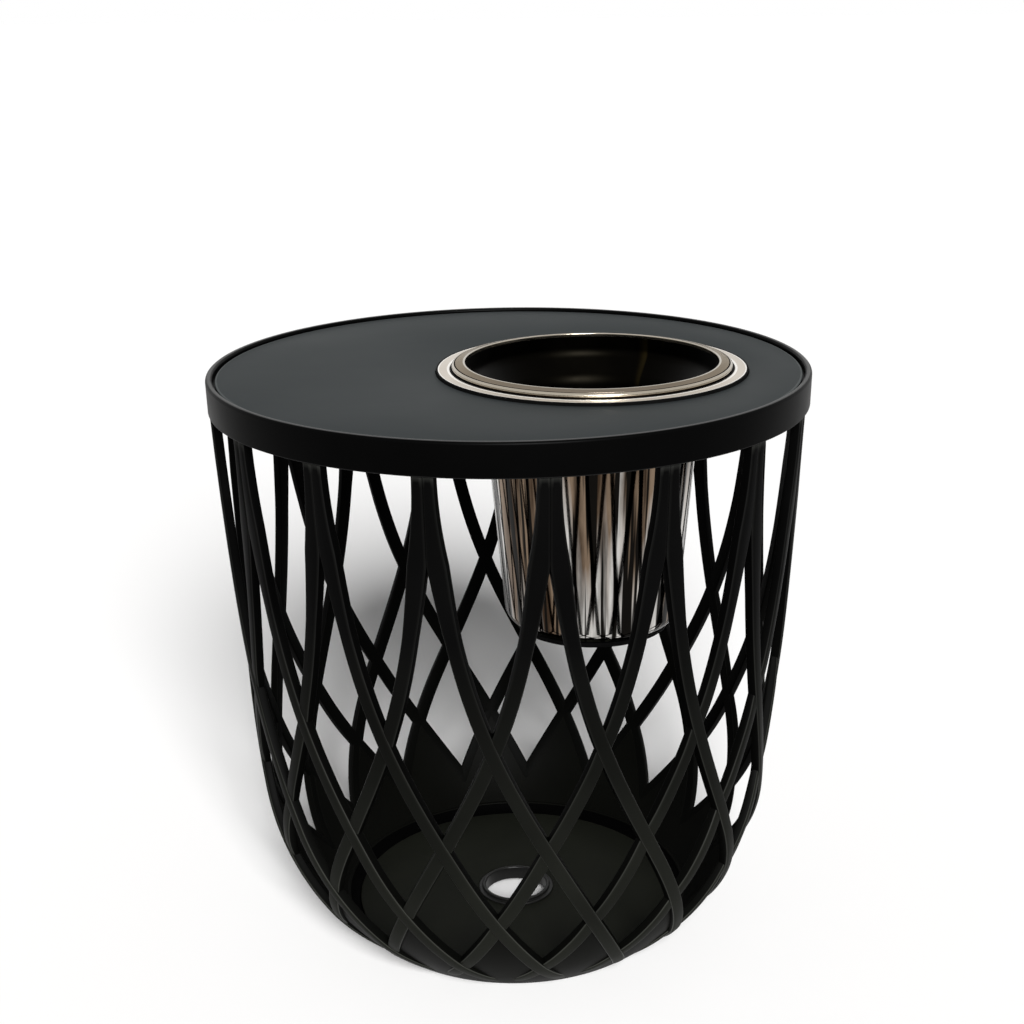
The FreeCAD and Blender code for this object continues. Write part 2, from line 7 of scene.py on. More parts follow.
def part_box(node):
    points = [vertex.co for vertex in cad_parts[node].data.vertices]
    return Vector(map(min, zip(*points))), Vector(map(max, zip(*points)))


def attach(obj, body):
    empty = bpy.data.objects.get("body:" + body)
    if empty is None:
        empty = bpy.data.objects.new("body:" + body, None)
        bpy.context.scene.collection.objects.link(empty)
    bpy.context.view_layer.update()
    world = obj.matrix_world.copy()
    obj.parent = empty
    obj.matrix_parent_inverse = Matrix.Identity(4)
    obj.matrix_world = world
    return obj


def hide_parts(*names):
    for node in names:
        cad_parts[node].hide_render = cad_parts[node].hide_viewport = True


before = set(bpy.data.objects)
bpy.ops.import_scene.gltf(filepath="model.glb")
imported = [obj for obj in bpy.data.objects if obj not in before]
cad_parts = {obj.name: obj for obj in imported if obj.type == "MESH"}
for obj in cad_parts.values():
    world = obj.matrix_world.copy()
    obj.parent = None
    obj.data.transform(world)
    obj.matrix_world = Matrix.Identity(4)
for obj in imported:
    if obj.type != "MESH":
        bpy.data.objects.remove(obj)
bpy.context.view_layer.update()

# Sizes in metres. The basket, top and bucket follow the frame; the rest is what the looks need.

MM = 0.001
SEGMENTS = 288
SMOOTH_BELOW = math.radians(32)

# Ribs

BASKET_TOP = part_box("right_rib_01")[1].z
RIB_PAIRS = 17
PITCH = 2 * math.pi / RIB_PAIRS
RIB_WIDTH = 9.5 * MM
RIB_TOP_WIDTH = 7.2 * MM
RIB_FORK_WIDTH = 12.9 * MM
RIB_DEPTH = 7.3 * MM
RIB_UNDER = 0.48 * MM
RIB_SEAM = 0.1 * MM
RIB_PROUD = 4 * MM
FORK_LEAN = math.radians(8)
RIB_LEAN = math.radians(28.5)
FORK = BASKET_TOP - 59 * MM
NECK_LENGTH = 52 * MM
LEAN_LENGTH = 220 * MM
ANGLE_STEP = 0.5 * MM

# Outline of the basket: an arc for the bowl, and a gentle bulge from there to the top

TOP_RIB_RADIUS = 213.4 * MM
BEND_HEIGHT = 125 * MM
BEND_RADIUS = 191.3 * MM
BEND_SLOPE = math.radians(6)
BOWL_ARC = 190 * MM
BOWL_CENTRE_R = BEND_RADIUS - BOWL_ARC * math.cos(BEND_SLOPE)
BOWL_CENTRE_Z = BEND_HEIGHT + BOWL_ARC * math.sin(BEND_SLOPE)
BOWL_WALL = 3.5 * MM
DRAIN_HOLE = 27.2 * MM

# Top and bucket

TOP_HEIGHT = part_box("top_tray")[1].z
TRAY_FLOOR = 426.8 * MM
PLATE_FOOT = 429.3 * MM
PLATE_TOP = 432.4 * MM
HOLE_X = 60 * MM
HOLE_RADIUS = 95 * MM
TRIM_EDGE = 110.7 * MM
RIM_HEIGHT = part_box("bucket_rim")[1].z - 0.8 * MM


# The outline and the rib law

def held(share):
    """A share kept between 0 and 1."""
    return min(1.0, max(0.0, share))


def outline_radius(z):
    """Radius of the ribs' outer faces at a height."""
    rise = z - BEND_HEIGHT
    if rise < 0:
        return BOWL_CENTRE_R + math.sqrt(BOWL_ARC ** 2 - (BOWL_CENTRE_Z - z) ** 2)
    full = BASKET_TOP - BEND_HEIGHT
    slope = math.tan(BEND_SLOPE)
    bulge = (TOP_RIB_RADIUS - BEND_RADIUS - slope * full) / full ** 2
    return BEND_RADIUS + slope * rise + bulge * rise ** 2


def outline_slope(z):
    """Angle of the outline from upright."""
    step = 0.01 * MM
    return math.atan((outline_radius(z + step) - outline_radius(z - step)) / (2 * step))


def rib_width(z):
    """A rib widens beside its twin down to the fork, then narrows to its full run."""
    drop = max(0.0, BASKET_TOP - z) / (BASKET_TOP - FORK)
    if drop <= 1:
        return RIB_TOP_WIDTH + drop ** 2 * (RIB_FORK_WIDTH - RIB_TOP_WIDTH)
    share = min(1.0, (FORK - z) / NECK_LENGTH)
    return RIB_FORK_WIDTH + share * (RIB_WIDTH - RIB_FORK_WIDTH)


def planned_lean(z):
    """Lean below the fork, eased in and out."""
    share = min(1.0, (FORK - z) / LEAN_LENGTH)
    eased = share * share * (3 - 2 * share)
    return FORK_LEAN + eased * (RIB_LEAN - FORK_LEAN)


def rib_angles():
    """Angle of a rib's middle from its pair's line, from the top down in steps of ANGLE_STEP."""
    angles = []
    angle = 0.0
    z = BASKET_TOP
    while z > 0:
        if z >= FORK:
            angle = (rib_width(z) + RIB_SEAM) / 2 / outline_radius(z)
        else:
            shift = math.tan(planned_lean(z)) * ANGLE_STEP / math.cos(outline_slope(z))
            angle += shift / outline_radius(z)
        angles.append(angle)
        z -= ANGLE_STEP
    return angles


RIB_ANGLES = rib_angles()


def rib_angle(z):
    """Angle of a rib's middle from its pair's line at any height."""
    place = max(0.0, BASKET_TOP - z) / ANGLE_STEP
    index = min(int(place), len(RIB_ANGLES) - 2)
    share = place - index
    return RIB_ANGLES[index] * (1 - share) + RIB_ANGLES[index + 1] * share


def height_at(angle):
    """Height at which a rib has moved round by this angle."""
    low, high = 0.0, BASKET_TOP
    for _ in range(40):
        middle = (low + high) / 2
        if rib_angle(middle) > angle:
            low = middle
        else:
            high = middle
    return (low + high) / 2


CROSSINGS = [height_at(k * PITCH / 2) for k in range(1, 5)]


# Mesh helpers

def new_object(name, verts, faces, materials, face_materials=()):
    """A mesh object in the scene, its doubles merged, its faces turned outwards and shaded smooth."""
    mesh = bpy.data.meshes.new(name)
    mesh.from_pydata(verts, [], faces)
    obj = bpy.data.objects.new(name, mesh)
    bpy.context.scene.collection.objects.link(obj)
    for material in materials:
        mesh.materials.append(material)
    for polygon, index in zip(mesh.polygons, face_materials):
        polygon.material_index = index
    work = bmesh.new()
    work.from_mesh(mesh)
    bmesh.ops.remove_doubles(work, verts=work.verts, dist=1e-6)
    bmesh.ops.recalc_face_normals(work, faces=work.faces)
    work.to_mesh(mesh)
    work.free()
    mesh.shade_smooth()
    mesh.set_sharp_from_angle(angle=SMOOTH_BELOW)
    return obj


def dress(obj, body, slot, *nodes):
    """Let a piece ride on its body and stand for its nodes. slot is not used."""
    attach(obj, body)
    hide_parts(*nodes)
    return obj


def ring_faces(rings, count, closed):
    """Quads between rings of count points each; closed joins the last ring to the first."""
    faces = []
    for s in range(rings if closed else rings - 1):
        t = (s + 1) % rings
        for i in range(count):
            j = (i + 1) % count
            faces.append((s * count + i, s * count + j, t * count + j, t * count + i))
    return faces


def joined(parts):
    """Several pairs of verts and faces as one."""
    verts, faces = [], []
    for more_verts, more_faces in parts:
        base = len(verts)
        verts += more_verts
        faces += [tuple(base + i for i in face) for face in more_faces]
    return verts, faces


def rounded(points, radii, steps=5):
    """Closed outline with each corner rounded by its own radius."""
    result = []
    count = len(points)
    for i, point in enumerate(points):
        corner = Vector(point)
        if radii[i] <= 0:
            result.append((corner.x, corner.y))
            continue
        before = Vector(points[i - 1]) - corner
        after = Vector(points[(i + 1) % count]) - corner
        half = before.angle(after) / 2
        reach = min(radii[i] / math.tan(half), before.length * 0.49, after.length * 0.49)
        radius = reach * math.tan(half)
        before, after = before.normalized(), after.normalized()
        first = corner + before * reach
        last = corner + after * reach
        centre = corner + (before + after).normalized() * (radius / math.sin(half))
        a0 = math.atan2(first.y - centre.y, first.x - centre.x)
        a1 = math.atan2(last.y - centre.y, last.x - centre.x)
        turn = (a1 - a0 + math.pi) % (2 * math.pi) - math.pi
        for k in range(steps + 1):
            a = a0 + turn * k / steps
            result.append((centre.x + radius * math.cos(a), centre.y + radius * math.sin(a)))
    return result


def rounded_profile(corners, steps=5):
    """Closed profile from corners of (radius, height, rounding in millimetres)."""
    return rounded([corner[:2] for corner in corners], [corner[2] * MM for corner in corners], steps)


def lathe(name, profile, materials, centre_x=0.0, pick=None, segments=SEGMENTS):
    """Turn a closed profile of (radius, height) about an upright axis.

    pick gives the number of a face's material from its two profile points.
    """
    verts = []
    for s in range(segments):
        a = 2 * math.pi * s / segments
        for r, z in profile:
            verts.append((centre_x + r * math.cos(a), r * math.sin(a), z))
    picks = [pick(a, b) if pick else 0 for a, b in zip(profile, profile[1:] + profile[:1])]
    return new_object(name, verts, ring_faces(segments, len(profile), True), materials, picks * segments)


def ray_to_circle(angle, radius):
    """Point on the table's circle that lies on a ray from the hole's middle."""
    c = math.cos(angle)
    reach = -HOLE_X * c + math.sqrt((HOLE_X * c) ** 2 + radius ** 2 - HOLE_X ** 2)
    return HOLE_X + reach * c, reach * math.sin(angle)


def holed_disc(name, profile, material, extra=()):
    """Solid between circles round the table's axis and circles round the hole.

    The profile is a closed list of (radius, height, kind), kind "rim" for the
    table's circles and "hole" for those round the bucket's hole. extra lists
    more pairs of verts and faces for the same piece.
    """
    verts = []
    for s in range(SEGMENTS):
        a = 2 * math.pi * s / SEGMENTS
        for radius, z, kind in profile:
            if kind == "hole":
                x, y = HOLE_X + radius * math.cos(a), radius * math.sin(a)
            else:
                x, y = ray_to_circle(a, radius)
            verts.append((x, y, z))
    disc = verts, ring_faces(SEGMENTS, len(profile), True)
    return new_object(name, *joined([disc, *extra]), [material])


# Basket: ribs that run on over the bowl, and the bowl with its saw-tooth edge

def rib_section(width, depth):
    """Outline of a rib across its run: (sideways, outwards), outer face at 0, drawn in a mould."""
    crown, draft, crown_round = 0.35 * MM, 0.7 * MM, 20 * MM
    outer, inner = 2.2 * MM, 1.0 * MM
    half = width / 2
    foot = half + draft
    corners = [(-foot, -depth), (foot, -depth), (half, -crown), (0, 0), (-half, -crown)]
    return rounded(corners, [inner, inner, outer, crown_round, outer], steps=4)


# One finish for each face round a rib's section: the crown plain, the two edge strips paler as painted highlights, and
# the inner faces on the sides and back darker as painted shade.
RIB_PAINTED_LIGHT_BANDS = ["inner"] * 11 + ["edge"] + ["crown"] * 10 + ["edge"] + ["inner"] * 2


def surface_point(angle, z):
    """Point on the outline."""
    r = outline_radius(z)
    return Vector((r * math.cos(angle), r * math.sin(angle), z))


def rib_sink(side, z):
    """How far a rib's outer face lies inside the outline.

    Every rib sinks into the bowl at its foot, and left ribs pass under the right ones.
    """
    fade_top, fade_run, fade_power = 36 * MM, 32 * MM, 1.4
    foot_fade = held((fade_top - z) / fade_run) ** fade_power * (RIB_PROUD - 0.1 * MM)
    if side > 0:
        return foot_fade
    dip_reach, dip_depth = 11 * MM, 0.9 * MM
    dip = sum(math.exp(-((z - level) / dip_reach) ** 2) for level in CROSSINGS)
    apart = held((FORK + 25 * MM - z) / (50 * MM))
    return (RIB_UNDER + dip_depth * dip) * apart + foot_fade


def rib_heights():
    """Levels of a rib's sections, closer where it bends more."""
    foot, count, crowding = 3.5 * MM, 150, 1.25
    return [BASKET_TOP + (foot - BASKET_TOP) * (1 - (1 - i / count) ** crowding) for i in range(count + 1)]


def rib_mesh(side, start):
    """Verts, faces and the faces' finishes of one rib from the top ring to the bowl's foot, its edge strips painted
    highlight and its sides painted shade.
    """
    verts = []
    levels = rib_heights()
    step = 0.2 * MM
    for z in levels:
        angle = start + side * rib_angle(z)
        here = surface_point(angle, z)
        ahead = surface_point(start + side * rib_angle(z - step), z - step)
        run = (ahead - here).normalized()
        slope = outline_slope(z)
        flat = math.cos(slope)
        outwards = Vector((flat * math.cos(angle), flat * math.sin(angle), -math.sin(slope)))
        sideways = run.cross(outwards).normalized()
        sink = rib_sink(side, z)
        for s, n in rib_section(rib_width(z), RIB_DEPTH - sink):
            point = here + sideways * s + outwards * (n - sink)
            if z == levels[0]:  # the top end is cut level
                point += run * ((point.z - BASKET_TOP) / -run.z)
            verts.append(point)
    count = len(RIB_PAINTED_LIGHT_BANDS)
    faces = ring_faces(len(levels), count, False)
    faces += [tuple(range(count)), tuple(range(len(verts) - count, len(verts)))]
    return verts, faces, RIB_PAINTED_LIGHT_BANDS * (len(levels) - 1) + ["crown"] * 2


def wall_radius(z, inside):
    """Radius of the bowl's outer or inner wall at a height."""
    arc = BOWL_ARC - RIB_PROUD - (BOWL_WALL if inside else 0)
    return BOWL_CENTRE_R + math.sqrt(arc ** 2 - (BOWL_CENTRE_Z - z) ** 2)


def bowl_profile(edge):
    """Closed profile of the bowl with its edge at a height, and where the groove starts in it.

    The groove round the floor plate lies under a small ledge of the wall.
    """
    rows = 22
    foot_low, foot_inner, foot_round = 1.5 * MM, 104 * MM, 0.8 * MM
    floor_low, floor_top, floor_round = 4 * MM, 7.5 * MM, 1 * MM
    ledge, bead_height, edge_round = 15.5 * MM, 1.6 * MM, 0.9 * MM
    profile = [(DRAIN_HOLE, floor_low), (foot_inner - floor_round, floor_low), (foot_inner, floor_low - floor_round)]
    profile += [(foot_inner, foot_low + foot_round), (foot_inner + foot_round, foot_low)]
    for i in range(rows + 1):
        z = foot_low + (edge - edge_round - foot_low) * i / rows
        profile.append((wall_radius(z, False), z))
    middle = (wall_radius(edge, False) + wall_radius(edge, True)) / 2
    shoulder = edge - 0.1 * MM
    profile += [(middle + edge_round, shoulder), (middle, edge), (middle - edge_round, shoulder)]
    for i in range(rows + 1):
        z = edge - edge_round + (ledge + bead_height - edge + edge_round) * i / rows
        profile.append((wall_radius(z, True), z))
    bead = wall_radius(ledge, True) - 0.7 * MM
    for inset, rise in ((0.2, 1.2), (0, 0.7), (0.1, 0.2)):
        profile.append((bead + inset * MM, ledge + rise * MM))
    groove_at = len(profile) - 1
    for z in (ledge, ledge - 2 * MM, floor_top + 3 * MM):
        profile.append((wall_radius(z, True), z))
    corner = wall_radius(floor_top, True)
    profile += [(corner - 0.6 * MM, floor_top + 0.8 * MM), (corner - 3.5 * MM, floor_top), (DRAIN_HOLE, floor_top)]
    return profile, groove_at


def bowl_mesh():
    """Verts, faces and the faces' finishes of the bowl, one closed skin up to its saw-tooth edge, the groove round the
    floor plate in painted shade.
    """
    columns = 24
    valley_round = 1.6 * MM / outline_radius(CROSSINGS[3])
    verts = []
    total = RIB_PAIRS * columns
    for c in range(total):
        angle = PITCH * (c / columns + 0.5)
        share = (c % columns) / columns
        from_valley = min(share, 1 - share) * PITCH
        profile, groove_at = bowl_profile(height_at(2 * PITCH - math.hypot(from_valley, valley_round)))
        for r, z in profile:
            verts.append((r * math.cos(angle), r * math.sin(angle), z))
    count = len(profile)
    # From the ledge's bead down into the groove and under the floor plate, the faces take painted shade.
    finishes = ["groove" if groove_at <= i < count - 1 else "bowl" for i in range(count)]
    return verts, ring_faces(total, count, True), finishes * total


def basket_moulding(materials):
    """The whole lattice and bowl, which is one moulding on the real table."""
    parts = [bowl_mesh()]
    parts += [rib_mesh(side, (pair + 0.5) * PITCH) for side in (1, -1) for pair in range(RIB_PAIRS)]
    verts, faces = joined([part[:2] for part in parts])
    order = list(materials)
    picks = [order.index(finish) for part in parts for finish in part[2]]
    obj = new_object("basket_moulding", verts, faces, materials.values(), picks)
    ribs = ["%s_rib_%02d" % (side, k + 1) for side in ("right", "left") for k in range(RIB_PAIRS)]
    return dress(obj, "basket", "basket_black", "basket_bowl", *ribs)


# Materials

class Nodes:
    """Short way to write a material's node tree."""

    def __init__(self, name):
        self.material = bpy.data.materials.new(name)
        self.material.use_nodes = True
        self.tree = self.material.node_tree
        self.shader = self.tree.nodes["Principled BSDF"]
        self.place = self.add("ShaderNodeTexCoord").outputs["Object"]

    def add(self, kind, **settings):
        """A new node, with settings for its properties."""
        node = self.tree.nodes.new(kind)
        for key, value in settings.items():
            setattr(node, key, value)
        return node

    def link(self, output, target):
        self.tree.links.new(output, target)

    def constants(self, node, **values):
        """Constants for a node's inputs, by name."""
        for key, value in values.items():
            node.inputs[key.replace("_", " ")].default_value = value

    def vector(self, operation, *values):
        """Result of a vector node, its inputs in order as outputs or constants; None leaves one as it is."""
        node = self.add("ShaderNodeVectorMath", operation=operation)
        for socket, value in zip(node.inputs, values):
            if isinstance(value, bpy.types.NodeSocket):
                self.link(value, socket)
            elif value is not None:
                socket.default_value = value
        return node.outputs["Value" if operation == "LENGTH" else "Vector"]

    def noise(self, scale, detail, stretch=(1, 1, 1)):
        """Noise over the object's own place."""
        mapping = self.add("ShaderNodeMapping")
        self.constants(mapping, Scale=stretch)
        self.link(self.place, mapping.inputs["Vector"])
        node = self.add("ShaderNodeTexNoise")
        self.constants(node, Scale=scale, Detail=detail)
        self.link(mapping.outputs["Vector"], node.inputs["Vector"])
        return node.outputs["Fac"]

    def from_axis(self, centre_x):
        """Level vector from an upright axis."""
        return self.vector("MULTIPLY", self.vector("ADD", self.place, (-centre_x, 0, 0)), (1, 1, 0))

    def axis_distance(self, centre_x=0.0):
        """Distance from an upright axis."""
        return self.vector("LENGTH", self.from_axis(centre_x))

    def streaks(self, scale, stretch, detail=2.0, pattern=0.0):
        """Noise in upright streaks round the bucket's axis, whatever its taper."""
        spread = self.vector("SCALE", self.vector("NORMALIZE", self.from_axis(HOLE_X)), None, None, 75 * MM)
        node = self.add("ShaderNodeTexNoise", noise_dimensions="4D")
        self.constants(node, W=pattern, Scale=scale, Detail=detail)
        self.link(self.vector("MULTIPLY_ADD", self.place, (0, 0, stretch), spread), node.inputs["Vector"])
        return node.outputs["Fac"]

    def along(self, axis):
        """Place along an axis."""
        split = self.add("ShaderNodeSeparateXYZ")
        self.link(self.place, split.inputs["Vector"])
        return split.outputs[axis]

    def band(self, value, low, high, out_low, out_high):
        """Spread a value from one range to another."""
        node = self.add("ShaderNodeMapRange")
        self.constants(node, From_Min=low, From_Max=high, To_Min=out_low, To_Max=out_high)
        self.link(value, node.inputs["Value"])
        return node.outputs["Result"]

    def mix(self, factor, first, second):
        """Mix of two colours, each an output or a constant."""
        node = self.add("ShaderNodeMix", data_type="RGBA")
        self.colour(node.inputs[6], first)
        self.colour(node.inputs[7], second)
        self.link(factor, node.inputs[0])
        return node.outputs[2]

    def colour(self, socket, value):
        if isinstance(value, tuple):
            socket.default_value = value + (1.0,)
        else:
            self.link(value, socket)

    def bump(self, parts):
        """Stack bumps given as (height, strength, distance)."""
        normal = None
        for height, strength, distance in parts:
            node = self.add("ShaderNodeBump")
            self.constants(node, Strength=strength, Distance=distance)
            self.link(height, node.inputs["Height"])
            if normal:
                self.link(normal, node.inputs["Normal"])
            normal = node.outputs["Normal"]
        self.link(normal, self.shader.inputs["Normal"])

    def finish(self, colour, roughness, bumps, **values):
        """Feed the shader, give it its constants and return the material."""
        self.link(colour, self.shader.inputs["Base Color"])
        self.link(roughness, self.shader.inputs["Roughness"])
        self.bump(bumps)
        self.constants(self.shader, **values)
        return self.material


def grey(value):
    return (value, value, value)


def moulded_plastic(name, colour, worn, roughness, shine, painted_low_light=None, highlight_bands=()):
    """Satin moulded plastic: fine grain, uneven gloss, paler handled edges.

    painted_low_light is the paler colour painted in towards the ground, painted light for the light that reaches the
    low parts. highlight_bands lists
    edges painted pale as highlights: two heights, from plain to brightest, and a share.
    """
    ground, clear_of_ground, highlight_pale = 0.03, 0.30, (0.16, 0.16, 0.158)
    m = Nodes(name)
    cloud = m.noise(14, 5)
    grain = m.noise(1600, 2)
    if painted_low_light:
        # Painted light: towards the ground the colour turns to the paler low colour, where more light reaches.
        colour = m.mix(m.band(m.along("Z"), ground, clear_of_ground, 1.0, 0.0), colour, painted_low_light)
    patchy = m.add("ShaderNodeHueSaturation")
    m.colour(patchy.inputs["Color"], colour)
    m.link(m.band(cloud, 0.35, 0.7, 0.9, 1.3), patchy.inputs["Value"])
    geometry = m.add("ShaderNodeNewGeometry")
    edge = m.band(geometry.outputs["Pointiness"], 0.52, 0.62, 0.0, 0.5)
    skin = m.mix(edge, patchy.outputs["Color"], worn)
    # Painted highlights: pale bands at the given heights stand in for the light along the tray bead's crown and the
    # skirt's lower lip.
    for plain, brightest, share in highlight_bands:
        skin = m.mix(m.band(m.along("Z"), plain, brightest, 0.0, share), skin, highlight_pale)
    gloss = m.band(cloud, 0.3, 0.7, roughness - 0.05, roughness + 0.07)
    bumps = [(grain, 0.35, 0.03 * MM), (m.noise(60, 3), 0.15, 0.15 * MM)]
    return m.finish(skin, gloss, bumps, Specular_IOR_Level=shine)


def slate_plate():
    """Grey plate: matt, very fine grain with a few lighter specks, its rounded outer edge paler as a painted highlight
    and its sides near black as painted shade.
    """
    highlight_start, highlight_full = 206.6 * MM, 206.9 * MM
    shade_from, shade_full = PLATE_TOP - 0.6 * MM, PLATE_TOP - 0.9 * MM
    m = Nodes("plate_slate")
    speck = m.noise(900, 3)
    cloud = m.noise(9, 4)
    base = m.mix(m.band(cloud, 0.3, 0.7, 0, 1), (0.0182, 0.0218, 0.0225), (0.0212, 0.0249, 0.0256))
    face = m.mix(m.band(speck, 0.60, 0.75, 0, 0.5), base, (0.030, 0.034, 0.035))
    # Painted highlight: the rounded outer edge paler.
    edge = m.mix(m.band(m.axis_distance(), highlight_start, highlight_full, 0, 0.9), face, (0.060, 0.066, 0.066))
    # Painted shade: the sides below the top near black, shade in the gaps beside the plate.
    side = m.mix(m.band(m.along("Z"), shade_from, shade_full, 0, 1), edge, grey(0.001))
    return m.finish(side, m.band(cloud, 0.3, 0.7, 0.52, 0.60), [(speck, 0.25, 0.04 * MM)], Specular_IOR_Level=0.06)


def metal(name, colour, dark, roughness, lines=(1, 1, 60), line_scale=30.0, grazing=(1, 1, 1)):
    """Metal with drawn lines round it and slightly uneven gloss; grazing tints it seen from the side."""
    spread = 0.06
    m = Nodes(name)
    line = m.noise(line_scale, 3, lines)
    patchy = m.mix(m.band(m.noise(20, 4), 0.3, 0.75, 0, 1), colour, dark)
    gloss = m.band(line, 0.3, 0.7, roughness - spread / 2, roughness + spread)
    return m.finish(patchy, gloss, [(line, 0.2, 0.01 * MM)], Metallic=1.0, Specular_Tint=grazing + (1.0,))


def polished_steel(name):
    """Polished steel with fine upright drawing lines in its bump, upright streaks of painted reflection in its colour,
    some near black, some tan, some light, and a plain base.
    """
    base_edge, wall_foot = 54 * MM, 61 * MM
    m = Nodes(name)
    broad = m.streaks(44, 0.05, 3, pattern=0.04)
    fine = m.streaks(170, 0.03)
    middle = m.streaks(130, 0.10, 6)
    shifted = m.add("ShaderNodeMath", operation="ADD")
    m.link(broad, shifted.inputs[0])
    m.link(m.band(m.along("Z"), 0.25, 0.40, 0.05, -0.05), shifted.inputs[1])
    # Painted reflections: tan and light upright streaks in the steel's colour.
    tan = m.mix(m.band(middle, 0.40, 0.60, 0, 1), (0.050, 0.031, 0.019), (0.27, 0.195, 0.135))
    pale = m.mix(m.band(middle, 0.38, 0.55, 0, 1), (0.26, 0.25, 0.235), (0.78, 0.76, 0.73))
    reflection_streaks = m.mix(m.band(shifted.outputs[0], 0.45, 0.53, 0, 1), tan, pale)
    # Painted reflections: near-black upright streaks of the dark surroundings.
    wall = m.mix(m.band(fine, 0.455, 0.50, 0, 1), (0.008, 0.007, 0.006), reflection_streaks)
    whole = m.mix(m.band(m.axis_distance(HOLE_X), base_edge, wall_foot, 0, 1), (0.20, 0.185, 0.17), wall)
    return m.finish(whole, m.band(broad, 0.3, 0.7, 0.05, 0.10), [(fine, 0.12, 0.02 * MM)], Metallic=1.0)


def bucket_inside_shade(name):
    """Steel inside the bucket painted near black as shade, with a few gold toned upright streaks painted as
    reflections high up on one side.
    """
    # Painted shade: the inside's colour near black.
    dark = (0.0016, 0.0014, 0.0010)
    m = Nodes(name)
    # Painted reflection: gold upright streaks, kept high up and to one side.
    gold = m.mix(m.band(m.streaks(48, 0.05), 0.55, 0.68, 0, 1), dark, (0.11, 0.080, 0.025))
    reflection_side = m.mix(m.band(m.along("X"), HOLE_X + 22 * MM, HOLE_X + 40 * MM, 0, 1), dark, gold)
    wall = m.mix(m.band(m.along("Z"), 0.27, 0.30, 0, 1), dark, reflection_side)
    gloss = m.band(m.noise(60, 3), 0.3, 0.7, 0.30, 0.40)
    return m.finish(wall, gloss, [(m.streaks(150, 0.03), 0.1, 0.02 * MM)], Metallic=1.0)


def rubber(name):
    """Matt black rubber."""
    m = Nodes(name)
    fine = m.noise(1200, 2)
    patchy = m.mix(m.band(m.noise(40, 3), 0.3, 0.7, 0, 1), grey(0.0015), grey(0.003))
    gloss = m.band(fine, 0.3, 0.7, 0.62, 0.75)
    return m.finish(patchy, gloss, [(fine, 0.3, 0.03 * MM)], Specular_IOR_Level=0.03)


# Pieces of the top

def beam(x0, x1, half, low, high):
    """A straight bar along +X, as verts and faces, to be turned into place."""
    verts = [Vector((x, y, z)) for x in (x0, x1) for y in (-half, half) for z in (low, high)]
    faces = [(0, 1, 3, 2), (4, 6, 7, 5), (0, 4, 5, 1), (2, 3, 7, 6), (0, 2, 6, 4), (1, 5, 7, 3)]
    return verts, faces


def tray_ribs():
    """Ribs under the tray's floor, those towards the bucket ending at its collar."""
    count, outer, half, shortest = 12, 196 * MM, 1.1 * MM, 4 * MM
    low, high = TRAY_FLOOR - 9 * MM, TRAY_FLOOR + 1 * MM
    collar = HOLE_RADIUS + 1.5 * MM
    ribs = []
    for k in range(count):
        angle = 2 * math.pi * k / count
        along = HOLE_X * math.cos(angle)
        beside = HOLE_X * math.sin(angle)
        spans = [(0.0, outer)]
        if abs(beside) < collar:
            reach = math.sqrt(collar ** 2 - beside ** 2)
            spans = [(along + reach, outer)]
            if along - reach > 0:
                spans.append((0.0, along - reach))
        turn = Matrix.Rotation(angle, 3, "Z")
        for x0, x1 in spans:
            if x1 - x0 >= shortest:
                verts, faces = beam(x0, x1, half, low, high)
                ribs.append(([turn @ v for v in verts], faces))
    return ribs


def rounded_kinds(corners):
    """Round the corners of a profile whose points name their own circles."""
    profile = []
    for i, corner in enumerate(corners):
        before, after = corners[i - 1], corners[(i + 1) % len(corners)]
        if corner[3] and before[2] == corner[2] == after[2]:
            three = rounded([before[:2], corner[:2], after[:2]], [0, corner[3] * MM, 0], steps=8)
            profile += [point + (corner[2],) for point in three[1:-1]]
        else:
            profile.append(corner[:3])
    return profile


def top_tray(material):
    """Tray with a rounded bead, a plain skirt, a locating ring and ribs below, and a collar round the hole."""
    outer, inner, foot = 214.9 * MM, 210.0 * MM, 411.5 * MM
    skirt, skirt_in = 214.3 * MM, 211.8 * MM
    collar, collar_low = HOLE_RADIUS + 2.5 * MM, PLATE_FOOT - 11 * MM
    locate_out, locate_in, locate_low = 198.0 * MM, 195.5 * MM, TRAY_FLOOR - 9 * MM
    profile = rounded_kinds([
        (inner, PLATE_FOOT, "rim", 0.3), (inner, TOP_HEIGHT, "rim", 2.2), (outer, TOP_HEIGHT, "rim", 2.6),
        (skirt, foot, "rim", 0.8), (skirt_in, foot, "rim", 0.5),
        (skirt_in, TRAY_FLOOR, "rim", 1.0), (locate_out, TRAY_FLOOR, "rim", 0.8),
        (locate_out, locate_low, "rim", 0.6), (locate_in, locate_low, "rim", 0.6), (locate_in, TRAY_FLOOR, "rim", 0.8),
        (collar, TRAY_FLOOR, "hole", 0), (collar, collar_low, "hole", 0.5),
        (HOLE_RADIUS, collar_low, "hole", 0.5), (HOLE_RADIUS, PLATE_FOOT, "hole", 0),
    ])
    obj = holed_disc("top_tray_moulding", profile, material, tray_ribs())
    return dress(obj, "table_top", "tray_black", "top_tray")


def top_plate(material):
    """Plate with a rounded outer edge and a bevel at the bucket's hole."""
    edge, cut, edge_round, steps = 208.2 * MM, TRIM_EDGE + 0.5 * MM, 0.8 * MM, 4
    profile = []
    for k in range(steps + 1):
        a = math.pi / 2 * k / steps
        profile.append((edge - edge_round * (1 - math.sin(a)), PLATE_TOP - edge_round * (1 - math.cos(a)), "rim"))
    profile += [(edge, PLATE_FOOT, "rim"), (cut, PLATE_FOOT, "hole")]
    for inset, drop in ((0, 0.5), (0.15, 0.15), (0.5, 0)):
        profile.append((cut + inset * MM, PLATE_TOP - drop * MM, "hole"))
    obj = holed_disc("top_plate_sheet", profile, material)
    return dress(obj, "table_top", "plate_slate", "top_plate")


